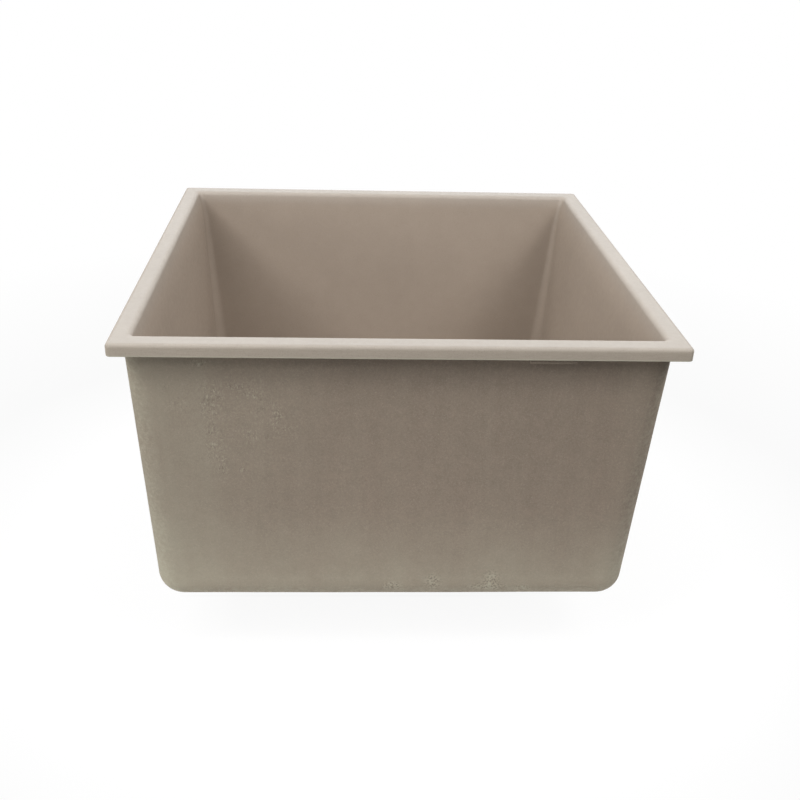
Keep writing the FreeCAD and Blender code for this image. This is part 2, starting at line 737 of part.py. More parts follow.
gasket_low = base_level - size("gasket_thickness")
friction_low = gasket_low - size("friction_thickness")
cup_bore = cup_radius + size("fit_gap")
seal_edge = flange_radius - size("strainer_sheet") - size("fit_gap")
gasket_edge = flange_radius + size("gasket_margin")
friction_edge = flange_radius - size("friction_margin")
hub_ring_bore = hub_radius + size("slide_gap")
hub_ring_edge = size("hub_flange_diameter") / 2
plate_edge = throat_radius + size("plate_overlap")
pieces = [
    make_bowl(),
    ring("flange_seal", shoulder_axis, seal_edge, seat_level, flange_low),
    make_shell(),
    make_spigot(),
    make_cross(),
    ring("rubber_gasket", cup_bore, gasket_edge, gasket_low, base_level),
    ring("friction_ring", cup_bore, friction_edge, friction_low, gasket_low),
    make_lock_nut(),
    make_basket(),
    make_hub(),
    ring("hub_ring", hub_ring_bore, hub_ring_edge, hub_ring_low, basket_low),
    make_grip_ring(),
    make_post(),
    make_knob(),
    ring("stopper_plate", slide_radius, plate_edge, plate_low, plate_top),
    make_stopper_seal(),
    make_stopper_nut(),
]
doc.recompute()

for item in doc.Objects:
    if "Invalid" in item.State or "Error" in item.State:
        raise RuntimeError(f"{item.Name} failed: {item.State}")
os.makedirs("parts", exist_ok=True)
for piece in pieces:
    shape = piece.Shape
    if shape.isNull() or not shape.isValid() or len(shape.Solids) != 1:
        raise RuntimeError(f"{piece.Label} is not one sound solid")
    shape.exportStep(f"parts/{piece.Label}.step")
    box = shape.BoundBox
    extent = f"z {box.ZMin:.2f} to {box.ZMax:.2f}, x to {box.XMax:.2f}"
    print(f"{piece.Label}: {shape.Volume / 1000:.1f} cm3, {extent}")
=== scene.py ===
import math

import bmesh
import bpy
from mathutils import Matrix, Vector, noise


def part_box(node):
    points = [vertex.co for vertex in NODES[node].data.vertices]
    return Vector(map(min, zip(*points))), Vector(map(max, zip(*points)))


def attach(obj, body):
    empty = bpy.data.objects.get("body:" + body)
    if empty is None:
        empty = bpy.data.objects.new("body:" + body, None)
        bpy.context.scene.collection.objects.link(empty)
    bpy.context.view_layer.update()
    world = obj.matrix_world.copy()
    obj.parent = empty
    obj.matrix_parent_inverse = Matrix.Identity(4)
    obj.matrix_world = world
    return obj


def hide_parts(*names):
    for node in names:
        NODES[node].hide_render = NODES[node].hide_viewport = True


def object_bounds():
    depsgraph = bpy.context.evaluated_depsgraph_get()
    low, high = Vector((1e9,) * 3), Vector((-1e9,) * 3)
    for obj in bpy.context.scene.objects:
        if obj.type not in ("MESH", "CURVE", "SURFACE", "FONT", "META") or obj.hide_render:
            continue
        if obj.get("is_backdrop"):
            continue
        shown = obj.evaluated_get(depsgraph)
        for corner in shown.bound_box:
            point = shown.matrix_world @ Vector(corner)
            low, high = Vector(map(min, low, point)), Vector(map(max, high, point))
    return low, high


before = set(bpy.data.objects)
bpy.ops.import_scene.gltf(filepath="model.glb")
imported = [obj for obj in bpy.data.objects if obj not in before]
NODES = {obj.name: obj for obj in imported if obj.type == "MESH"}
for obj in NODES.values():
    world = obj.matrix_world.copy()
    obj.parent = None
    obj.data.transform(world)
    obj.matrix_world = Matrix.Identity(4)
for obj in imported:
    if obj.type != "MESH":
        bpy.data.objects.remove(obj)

bl_info = {
    "name": "Composite sink looks",
    "version": (1, 0, 0),
    "blender": (4, 5, 0),
    "location": "View3D > Sidebar > Sink",
    "description": "Dresses the packed sink: cast bowl, strainer finishes, threads and studio",
    "category": "Object",
}

CAD_LOW, CAD_HIGH = (list(corner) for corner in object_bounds())
BOWL_LOW, BOWL_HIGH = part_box("bowl")
NUT_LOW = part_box("lock_nut")[0].z
SHELL_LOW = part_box("strainer_shell")[0].z
SPIGOT_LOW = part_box("outlet_spigot")[0].z


def length(name, description, default):
    return bpy.props.FloatProperty(
        name=name, description=description, default=default, unit="LENGTH", precision=4)


def angle(name, description, degrees):
    return bpy.props.FloatProperty(
        name=name, description=description, default=math.radians(degrees), subtype="ANGLE")


def tint(name, description, default):
    return bpy.props.FloatVectorProperty(
        name=name, description=description, default=default, subtype="COLOR", size=3, min=0, max=1)


class SinkSizes(bpy.types.PropertyGroup):
    """Sizes of the cast bowl and of the threads."""

    rim_width: length("Rim width", "Rim from side to side", BOWL_HIGH.x - BOWL_LOW.x)
    rim_depth: length("Rim depth", "Rim from front to back", BOWL_HIGH.y - BOWL_LOW.y)
    bowl_height: length("Bowl height", "Rim's top face to the base", BOWL_HIGH.z - BOWL_LOW.z)
    rim_thickness: length("Rim thickness", "Height of the rim's edge", 0.010)
    rim_edge: length("Rim edge", "Rounding of the rim's outer top edge", 0.003)
    rim_corner: length("Rim corner", "Plan radius of the rim's corners", 0.004)
    side_mouth: length("Side mouth", "Rim's flat to the side walls' line at the top", 0.0075)
    front_mouth: length("Front mouth", "Rim's flat to the front and back walls' line at the top", 0.0054)
    mouth_edge: length("Mouth edge", "Tighter rounding where the rim's flat ends", 0.005)
    mouth_slope: angle("Mouth slope", "Turn of the tighter rounding", 75)
    rim_fillet: length("Rim fillet", "Fillet between walls and rim", 0.002)
    rim_nip: length("Rim nip", "Bevel of the rim's lower edge", 0.0003)
    side_overhang: length("Side overhang", "Rim past the side walls", 0.0075)
    front_overhang: length("Front overhang", "Rim past the front and back walls", 0.0109)
    wall: length("Wall", "Front and back walls under the rim", 0.0093)
    side_wall: length("Side wall", "Side walls under the rim", 0.0123)
    draft: angle("Draft", "Lean of the walls outside", 2.3)
    inner_draft: angle("Inner draft", "Lean of the walls inside", 3.7)
    outer_corner: length("Outer corner", "Upright corners outside, under the rim", 0.0185)
    inner_corner: length("Inner corner", "Upright corners inside, at the mouth", 0.005)
    base_edge: length("Base edge", "Rounding of the base edge", 0.020)
    floor_edge: length("Floor edge", "Rounding of the floor edge", 0.010)
    corner_blend: length("Corner blend", "Corner radius left inside the edge roundings", 0.004)
    floor_thickness: length("Floor thickness", "Base up to the edge of the floor", 0.013)
    floor_fall: length("Floor fall", "Drop of the floor to the drain", 0.003)
    seat_radius: length("Seat radius", "Radius of the recess for the strainer's flange", 0.058)
    seat_depth: length("Seat depth", "Depth of the recess for the strainer's flange", 0.003)
    land: length("Land", "Flat ring round the recess", 0.004)
    drain_radius: length("Drain radius", "Hole through the floor", 0.045)
    gate_width: length("Gate width", "Width of the trimmed casting gate under the front rim", 0.0358)
    gate_height: length("Gate height", "Height of the trimmed casting gate under the front rim", 0.0038)
    gate_setback: length("Gate setback", "Gate behind the rim's edge", 0.0025)
    gate_position: length("Gate position", "Gate right of the middle", 0.1124)
    waviness: length("Waviness", "Unevenness of the cast back", 0.00025)
    cup_radius: length("Cup radius", "Strainer cup outside", 0.042)
    spigot_radius: length("Outlet radius", "Outlet thread outside", 0.0239)
    thread_pitch: length("Thread pitch", "Pitch of the threads", 0.0021)
    thread_height: length("Thread height", "Height of the thread's ridge", 0.0006)


class SinkColours(bpy.types.PropertyGroup):
    """Colours of the finishes."""

    face: tint("Face", "Moulded face of the composite", (0.324, 0.268, 0.218))
    # rim: the sanded top, paler and greyer partly as a painted sheen of the flat top
    rim: tint("Rim", "Sanded top of the rim", (0.315, 0.285, 0.252))
    edge: tint("Edge", "Trimmed edge of the rim", (0.330, 0.286, 0.234))
    back: tint("Back", "Cast back of the composite", (0.226, 0.181, 0.140))
    grain_light: tint("Light grain", "Pale mineral grains", (0.42, 0.37, 0.32))
    grain_dark: tint("Dark grain", "Dark mineral grains", (0.13, 0.105, 0.08))
    # chalk also paints light in the haze and highlights on the rim's lower edge, the gate's foot and the
    # front corners
    chalk: tint("Chalk", "Dust and scuffs on the cast back", (0.42, 0.405, 0.31))
    steel: tint("Steel", "Stainless steel", (0.62, 0.62, 0.61))
    brass: tint("Brass", "Brass outlet and nut", (0.70, 0.52, 0.25))
    zinc: tint("Zinc", "Cast lock nut", (0.50, 0.51, 0.52))
    rubber: tint("Rubber", "Seals and stopper", (0.035, 0.035, 0.037))
    card: tint("Card", "Friction ring", (0.62, 0.54, 0.40))
    knob: tint("Knob", "Plastic lift knob", (0.045, 0.045, 0.047))


# sockets of a colour Mix node
MIX_SHARE, MIX_FIRST, MIX_SECOND, MIX_RESULT = 0, 6, 7, 2


class Finish:
    """One node material, built up step by step on object coordinates."""

    def __init__(self, name):
        self.material = bpy.data.materials.new(name)
        self.material.use_nodes = True
        self.tree = self.material.node_tree
        self.shader = self.tree.nodes["Principled BSDF"]
        self.place = self.tree.nodes.new("ShaderNodeTexCoord").outputs["Object"]

    def set(self, **values):
        for key, value in values.items():
            self.shader.inputs[key.replace("_", " ")].default_value = value
        return self

    def add(self, kind, sources=None, **settings):
        node = self.tree.nodes.new(kind)
        for key, value in settings.items():
            setattr(node, key, value)
        for key, source in (sources or {}).items():
            socket = node.inputs[key]
            if isinstance(source, bpy.types.NodeSocket):
                self.tree.links.new(source, socket)
            else:
                socket.default_value = source
        return node

    def math(self, operation, first, second=0.0):
        return self.add("ShaderNodeMath", {0: first, 1: second}, operation=operation).outputs[0]

    def product(self, first, second):
        return self.math("MULTIPLY", first, second)

    def attribute(self, name):
        return self.add("ShaderNodeAttribute", attribute_name=name).outputs["Fac"]

    def stretched(self, x, y, z):
        return self.add("ShaderNodeMapping", {"Vector": self.place, "Scale": (x, y, z)}).outputs["Vector"]

    def noise(self, scale, detail=2.0, rough=0.5, distortion=0.0, place=None):
        sources = {
            "Vector": place or self.place, "Scale": scale, "Detail": detail, "Roughness": rough,
            "Distortion": distortion,
        }
        return self.add("ShaderNodeTexNoise", sources).outputs["Fac"]

    def cells(self, scale, output="Distance"):
        return self.add("ShaderNodeTexVoronoi", {"Vector": self.place, "Scale": scale}).outputs[output]

    def span(self, value, low, high, out_low=0.0, out_high=1.0):
        """Spreads the values from low to high over another range and stops at its ends."""
        sources = {"Value": value, "From Min": low, "From Max": high, "To Min": out_low, "To Max": out_high}
        return self.add("ShaderNodeMapRange", sources, clamp=True).outputs["Result"]

    def mix(self, share, first, second, blend="MIX"):
        node = self.add("ShaderNodeMix", data_type="RGBA", blend_type=blend)
        for index, source in ((MIX_SHARE, share), (MIX_FIRST, first), (MIX_SECOND, second)):
            if isinstance(source, bpy.types.NodeSocket):
                self.tree.links.new(source, node.inputs[index])
            elif index == MIX_SHARE:
                node.inputs[index].default_value = source
            else:
                node.inputs[index].default_value = (*source[:3], 1.0)
        return node.outputs[MIX_RESULT]

    def layer(self, tone, share, colour, strength):
        """Lays a colour over a tone by a share, at a strength."""
        return self.mix(self.product(share, strength), tone, colour)

    def shaded(self, tone, level):
        """Makes a tone lighter or darker by a level round 1."""
        grey = self.add("ShaderNodeCombineColor", {0: level, 1: level, 2: level}).outputs[0]
        return self.mix(1.0, tone, grey, "MULTIPLY")

    def near(self, centre, radius, soft):
        """1 close to a point of the object, falling to 0."""
        offset = self.add("ShaderNodeVectorMath", {0: self.place, 1: centre}, operation="DISTANCE")
        return self.span(offset.outputs["Value"], radius, radius + soft, 1.0, 0.0)

    def patches(self, zones, soft):
        """1 inside any of the front wall's oval patches, fading to 0 round them."""
        share = 0.0
        for x, z, wide, high in zones:
            sources = {0: self.place, 1: (1 / wide, 0.0, 1 / high), 2: (-x / wide, 0.0, -z / high)}
            place = self.add("ShaderNodeVectorMath", sources, operation="MULTIPLY_ADD").outputs["Vector"]
            reach = self.add("ShaderNodeVectorMath", {0: place}, operation="LENGTH").outputs["Value"]
            share = self.math("MAXIMUM", share, self.span(reach, 1 - soft, 1 + soft, 1.0, 0.0))
        return share

    def colour(self, source):
        self.tree.links.new(source, self.shader.inputs["Base Color"])
        return self

    def roughness(self, source):
        self.tree.links.new(source, self.shader.inputs["Roughness"])
        return self

    def bump(self, height, distance, strength=1.0):
        sources = {"Height": height, "Distance": distance, "Strength": strength}
        below = self.shader.inputs["Normal"]
        if below.is_linked:
            sources["Normal"] = below.links[0].from_socket
        node = self.add("ShaderNodeBump", sources)
        self.tree.links.new(node.outputs["Normal"], below)
        return self


# scales of the composite's patterns, in cells per metre
CLOUD_SCALE = 7.0
DUST_SCALE = 16.0
MOTTLE_SCALE = 70.0
BREAK_SCALE = 130.0
BACK_SHEEN_SCALE = 160.0
FACE_RIPPLE_SCALE = 180.0
FACE_SHEEN_SCALE = 240.0
RUB_SCALE = 300.0
SPECK_SCALE = 420.0
GRIT_SCALE = 520.0
PIT_SCALE = 560.0
CAST_SCALE = 620.0
GRAIN_SCALE = 1150.0
STREAK_STRETCH = (46.0, 46.0, 2.6)
RIPPLE_STRETCH = (760.0, 760.0, 430.0)
DRAG_STRETCH = (60.0, 60.0, 900.0)

# marks on the front wall's outside: x, z, half width, half height
SCUFFS = (
    (-0.1424, -0.0523, 0.0098, 0.0175), (-0.1420, -0.0859, 0.0077, 0.0220),
    (-0.1376, -0.1060, 0.0047, 0.0131), (-0.1246, -0.0402, 0.0105, 0.0038),
    (-0.1121, -0.0452, 0.0090, 0.0043), (-0.1064, -0.0564, 0.0038, 0.0088),
    (-0.0938, -0.0642, 0.0046, 0.0151), (-0.1126, -0.0812, 0.0069, 0.0045),
    (-0.1022, -0.0812, 0.0019, 0.0054), (-0.0863, -0.0748, 0.0084, 0.0036),
    (-0.1665, -0.0540, 0.0085, 0.0050), (-0.1515, -0.0200, 0.0085, 0.0036),
    (-0.1785, -0.0390, 0.0045, 0.0025), (-0.1216, -0.1134, 0.0031, 0.0023),
)
PITS = (
    (-0.0005, -0.2299, 0.0076, 0.0043), (0.0342, -0.2256, 0.0060, 0.0076),
    (0.0835, -0.2246, 0.0068, 0.0098), (0.0806, -0.2311, 0.0146, 0.0044),
    (0.1108, -0.2323, 0.0060, 0.0033),
)
SPECKS = (
    (0.1849, -0.2193, 0.0052, 0.0174), (0.1830, -0.2302, 0.0087, 0.0088),
    (0.1876, -0.1782, 0.0030, 0.0045), (-0.1100, -0.2050, 0.0450, 0.0160),
)
MARK_SOFTNESS = 0.5
WORN_CENTRE = (-0.125, -0.203, -0.065)
# low right corner of the front wall, where the haze is dust and painted light
LOW_RIGHT_CORNER = (0.190, -0.188, -0.215)


def composite_grain(finish, base, colours, strength, patchy):
    """Fine mineral speckle over a softly uneven ground."""
    cloud = finish.span(finish.noise(CLOUD_SCALE, 3.0), 0.3, 0.7, 0.96, 1.04)
    mottle = finish.span(finish.noise(MOTTLE_SCALE, 4.0, 0.6), 0.25, 0.75, 1 - patchy, 1 + patchy)
    ground = finish.shaded(base, finish.product(cloud, mottle))
    grains = finish.noise(GRAIN_SCALE, 2.0, 0.7)
    tone = finish.layer(ground, finish.span(grains, 0.56, 0.68), colours.grain_light, strength)
    tone = finish.layer(tone, finish.span(grains, 0.44, 0.32), colours.grain_dark, strength)
    return tone, grains


def face_finish(colours):
    """Moulded face: satin, with a very fine grain, paler where the rim was sanded flat and where a painted
    sheen lies on the rim's top and fades down its roundings.
    """
    finish = Finish("composite_face")
    # paler towards the rim: sanded, and a painted sheen on the flat top and its roundings
    ground = finish.mix(finish.attribute("sanded_and_sheen"), colours.face, colours.rim)
    tone, grains = composite_grain(finish, ground, colours, strength=0.15, patchy=0.03)
    finish.colour(tone)
    finish.roughness(finish.span(finish.noise(FACE_SHEEN_SCALE, 3.0), 0.3, 0.7, 0.42, 0.54))
    finish.bump(grains, distance=0.00008, strength=0.2)
    finish.bump(finish.noise(FACE_RIPPLE_SCALE, 2.0), distance=0.00015, strength=0.12)
    return finish.material


def edge_finish(colours):
    """Rim's edge: the face's colour, a little rougher where it was trimmed, paler towards the top as
    sanding and painted sheen, with a painted highlight in chalk along the nipped lower edge.
    """
    finish = Finish("composite_edge")
    ground = finish.mix(finish.attribute("sanded_and_sheen"), colours.edge, colours.rim)
    tone, grains = composite_grain(finish, ground, colours, strength=0.20, patchy=0.03)
    drag = finish.noise(1.0, 3.0, 0.6, 0.2, finish.stretched(*DRAG_STRETCH))
    tone = finish.mix(finish.span(drag, 0.45, 0.75, 0.0, 0.14), tone, colours.grain_dark)
    # chalk on the nipped lower edge: a painted highlight
    tone = finish.layer(tone, finish.attribute("wear"), colours.chalk, strength=0.5)
    finish.colour(tone)
    finish.roughness(finish.span(grains, 0.3, 0.7, 0.56, 0.70))
    finish.bump(finish.math("ADD", grains, drag), distance=0.00015, strength=0.35)
    return finish.material


def dusted_and_painted_light(finish, tone, colours, across, high):
    """Chalk haze of dust and painted light, thicker towards the left side, the foot of the walls and the
    low right corner.
    """
    # lighter to the left and at the foot: partly dust, partly painted light of the left lamps and the
    # floor's bounce
    broad_left = finish.span(across, -0.05, -0.205, 0.0, 0.20)
    edge_left = finish.span(across, -0.15, -0.19, 0.0, 0.05)
    rising = finish.span(high, -0.150, -0.215, 0.0, 0.20)
    off_base = finish.span(high, -0.2455, -0.236)
    left = finish.math("ADD", broad_left, edge_left)
    foot = finish.product(rising, off_base)
    cloud = finish.span(finish.noise(DUST_SCALE, 4.0, 0.6), 0.3, 0.7, 0.7, 1.3)
    dust_and_light = finish.product(finish.math("ADD", left, foot), cloud)
    streak = finish.noise(1.0, 4.0, 0.6, 0.4, finish.stretched(*STREAK_STRETCH))
    dust_and_light = finish.math("ADD", dust_and_light, finish.span(streak, 0.42, 0.72, 0.0, 0.08))
    low_right = finish.near(LOW_RIGHT_CORNER, radius=0.006, soft=0.030)
    dust_and_light = finish.math("ADD", dust_and_light, finish.product(low_right, 0.15))
    return finish.mix(dust_and_light, tone, colours.chalk)


def scuffed(finish, tone, colours, front):
    """Scuffs: short pale and dark ripples. Gives the tone and the pale ripples."""
    broken = finish.span(finish.noise(BREAK_SCALE, 3.0), 0.35, 0.62, 0.3, 1.0)
    worn = finish.product(finish.near(WORN_CENTRE, radius=0.03, soft=0.04), 0.25)
    share = finish.math("MAXIMUM", finish.patches(SCUFFS, MARK_SOFTNESS), worn)
    share = finish.product(finish.product(share, front), broken)
    ripple = finish.noise(1.0, 2.0, 0.5, 0.8, finish.stretched(*RIPPLE_STRETCH))
    lit = finish.product(finish.span(ripple, 0.54, 0.68), share)
    dim = finish.product(finish.span(ripple, 0.46, 0.33), share)
    tone = finish.layer(tone, lit, colours.chalk, strength=0.58)
    tone = finish.layer(tone, dim, colours.grain_dark, strength=0.55)
    return tone, lit


def pitted(finish, tone, colours, front):
    """Pits with pale collars, and single pale specks. Gives the tone and the pits."""
    share = finish.product(finish.patches(PITS, MARK_SOFTNESS), front)
    dots = finish.cells(PIT_SCALE)
    pits = finish.product(finish.span(dots, 0.20, 0.40, 1.0, 0.0), share)
    collars = finish.product(finish.span(dots, 0.52, 0.66), share)
    tone = finish.layer(tone, collars, colours.chalk, strength=0.45)
    tone = finish.layer(tone, pits, colours.grain_dark, strength=0.75)
    extra = finish.product(finish.product(finish.patches(SPECKS, MARK_SOFTNESS), front), 0.12)
    chosen = finish.span(finish.math("ADD", finish.cells(SPECK_SCALE, "Color"), extra), 0.93, 0.95)
    speck = finish.product(finish.span(finish.cells(SPECK_SCALE), 0.12, 0.26, 1.0, 0.0), chosen)
    return finish.layer(tone, speck, colours.chalk, strength=0.30), pits


def back_finish(colours):
    """Cast back: matte and gritty, with a dusty haze that partly is painted light, scuffs, pits, and worn
    edges that partly are painted highlights.
    """
    finish = Finish("composite_back")
    across, deep, high = finish.add("ShaderNodeSeparateXYZ", {0: finish.place}).outputs
    front = finish.span(deep, -0.15, -0.18)
    tone, _ = composite_grain(finish, colours.back, colours, strength=0.22, patchy=0.06)
    tone = finish.shaded(tone, finish.span(finish.noise(GRIT_SCALE, 2.0), 0.3, 0.7, 0.94, 1.06))
    # dust with painted light towards the left side, the foot and the low right corner
    tone = dusted_and_painted_light(finish, tone, colours, across, high)
    tone, lit = scuffed(finish, tone, colours, front)
    tone, pits = pitted(finish, tone, colours, front)
    # chalk rubbed on the base edge and foot; on the front corners and the gate's foot it is partly a
    # painted highlight
    rough_rub = finish.span(finish.noise(RUB_SCALE, 4.0, 0.7), 0.40, 0.70)
    rub_and_highlight = finish.product(finish.attribute("wear"), rough_rub)
    finish.colour(finish.layer(tone, rub_and_highlight, colours.chalk, strength=0.50))
    finish.roughness(finish.span(finish.noise(BACK_SHEEN_SCALE, 3.0), 0.3, 0.7, 0.72, 0.88))
    finish.set(Specular_IOR_Level=0.35)
    finish.bump(finish.noise(CAST_SCALE, 3.0, 0.6), distance=0.0004, strength=0.2)
    finish.bump(finish.math("SUBTRACT", lit, pits), distance=0.0002, strength=0.3)
    return finish.material


# patterns of the metals: scales in cells per metre, and how dark their clouds are
SMEAR_SCALE = 45.0
SMEAR_DARKNESS = 0.78
METAL_CLOUD_SCALE = 60.0
METAL_CLOUD_DARKNESS = 0.72
METAL_GRAIN_SCALE = 520.0
STROKE_STRETCH = 0.0022


def scaled(colour, factor):
    return [factor * channel for channel in colour]


def turned_metal(name, colour, rough, lines, depth):
    """Metal with fine turning lines round the drain's axis."""
    finish = Finish(name)
    x, y, z = finish.add("ShaderNodeSeparateXYZ", {0: finish.place}).outputs
    squares = finish.math("ADD", finish.math("POWER", x, 2.0), finish.math("POWER", y, 2.0))
    radius = finish.math("SQRT", squares)
    around = finish.product(finish.math("ARCTAN2", y, x), STROKE_STRETCH)
    place = finish.add("ShaderNodeCombineXYZ", {0: radius, 1: around, 2: z}).outputs[0]
    stroke = finish.noise(lines, 3.0, 0.65, 0.0, place)
    smear = finish.noise(SMEAR_SCALE, 3.0)
    stain = finish.span(smear, 0.35, 0.75, 0.0, 0.22)
    finish.colour(finish.mix(stain, colour, scaled(colour, SMEAR_DARKNESS)))
    brushed = finish.span(stroke, 0.3, 0.7, rough - 0.06, rough + 0.08)
    smeared = finish.span(smear, 0.4, 0.7, 0.0, 0.05)
    finish.roughness(finish.math("ADD", brushed, smeared))
    finish.bump(stroke, depth, strength=0.25)
    return finish.set(Metallic=1.0).material


def cast_metal(name, colour, rough):
    """Metal with a grainy cast skin."""
    finish = Finish(name)
    grain = finish.noise(METAL_GRAIN_SCALE, 4.0, 0.65)
    cloud = finish.span(finish.noise(METAL_CLOUD_SCALE, 4.0), 0.35, 0.7, 0.0, 0.5)
    finish.colour(finish.mix(cloud, colour, scaled(colour, METAL_CLOUD_DARKNESS)))
    finish.roughness(finish.span(grain, 0.3, 0.7, rough - 0.08, rough + 0.10))
    finish.bump(grain, distance=0.0002, strength=0.30)
    return finish.set(Metallic=1.0).material


def soft_finish(name, colour, rough, scale, depth):
    """Rubber, card or plastic with its own fine texture."""
    finish = Finish(name)
    texture = finish.noise(scale, 3.0, 0.6)
    paler = [min(1.0, 1.25 * channel + 0.006) for channel in colour]
    finish.colour(finish.mix(finish.span(texture, 0.35, 0.7), colour, paler))
    finish.roughness(finish.span(finish.noise(scale / 3, 2.0), 0.3, 0.7, rough - 0.07, rough + 0.07))
    finish.bump(texture, depth, strength=0.3)
    return finish.material


# steps of the bowl's skin
SIDE_STEPS = 64
CORNER_STEPS = 10
WALL_STEPS = 36
EDGE_STEPS = 12
BASE_STEPS = 8
FLOOR_STEPS = 14
MOUTH_STEPS = 10
SANDED_AND_SHEEN_STEPS = 4
RIM_EDGE_STEPS = 8
RIM_TOP_STEPS = 5
FILLET_STEPS = 5
NIP_STEPS = 3
RING_STEPS = 3
LAND_STEPS = 2

# small sizes of the skin, in metres
CLAMP_RADIUS = 0.066
LIP_BEVEL = 0.0006
HOLE_BEVEL = 0.0005
SEAT_BEVEL = 0.0004
BASE_MARGIN = 0.0001

# wear and painted highlight of the upright corners, from the front right one round to the front left one;
# the front ones are stronger as a painted catch light on their roundings
CORNER_WEAR_AND_HIGHLIGHT = (0.8, 0.4, 0.4, 0.9)
CORNER_WEAR_AND_HIGHLIGHT_FROM = 0.1
FOOT_WEAR = 0.35
# share of the sanded colour and painted sheen left where the mouth's tight rounding ends
MOUTH_SANDED_AND_SHEEN = 0.4

BROAD_WAVES = 9.0
FINE_WAVES = 31.0
FINE_SHIFT = Vector((3.1, 1.7, 0.4))
FINISH_SLOTS = {"face": 0, "edge": 1, "back": 2}


def rounded_loop(half_x, half_y, radius, level):
    """Points round a rounded rectangle, always the same count, from the middle of the front."""
    points = []
    corners = [(1, -1, -90), (1, 1, 0), (-1, 1, 90), (-1, -1, 180)]
    for index, (sx, sy, start) in enumerate(corners):
        before = corners[index - 1]
        a = Vector((before[0] * (half_x - radius), before[1] * (half_y - radius), 0))
        b = Vector((sx * (half_x - radius), sy * (half_y - radius), 0))
        out = Vector((math.cos(math.radians(start)), math.sin(math.radians(start)), 0)) * radius
        for step in range(SIDE_STEPS):
            points.append(a.lerp(b, step / SIDE_STEPS) + out)
        for step in range(CORNER_STEPS):
            turn = math.radians(start + 90 * step / CORNER_STEPS)
            points.append(b + Vector((math.cos(turn), math.sin(turn), 0)) * radius)
    return at_level(points, level)


def at_level(loop, level):
    return [Vector((point.x, point.y, level)) for point in loop]


def circle_like(loop, radius, level):
    """The loop's points drawn in to a circle, each along its own ray."""
    rays = [Vector((point.x, point.y, 0)).normalized() for point in loop]
    return at_level([ray * radius for ray in rays], level)


def between(first, second, steps):
    """Loops from one loop to another, the last one with them and the first one not."""
    return [
        [p.lerp(q, step / steps) for p, q in zip(first, second)]
        for step in range(1, steps + 1)
    ]


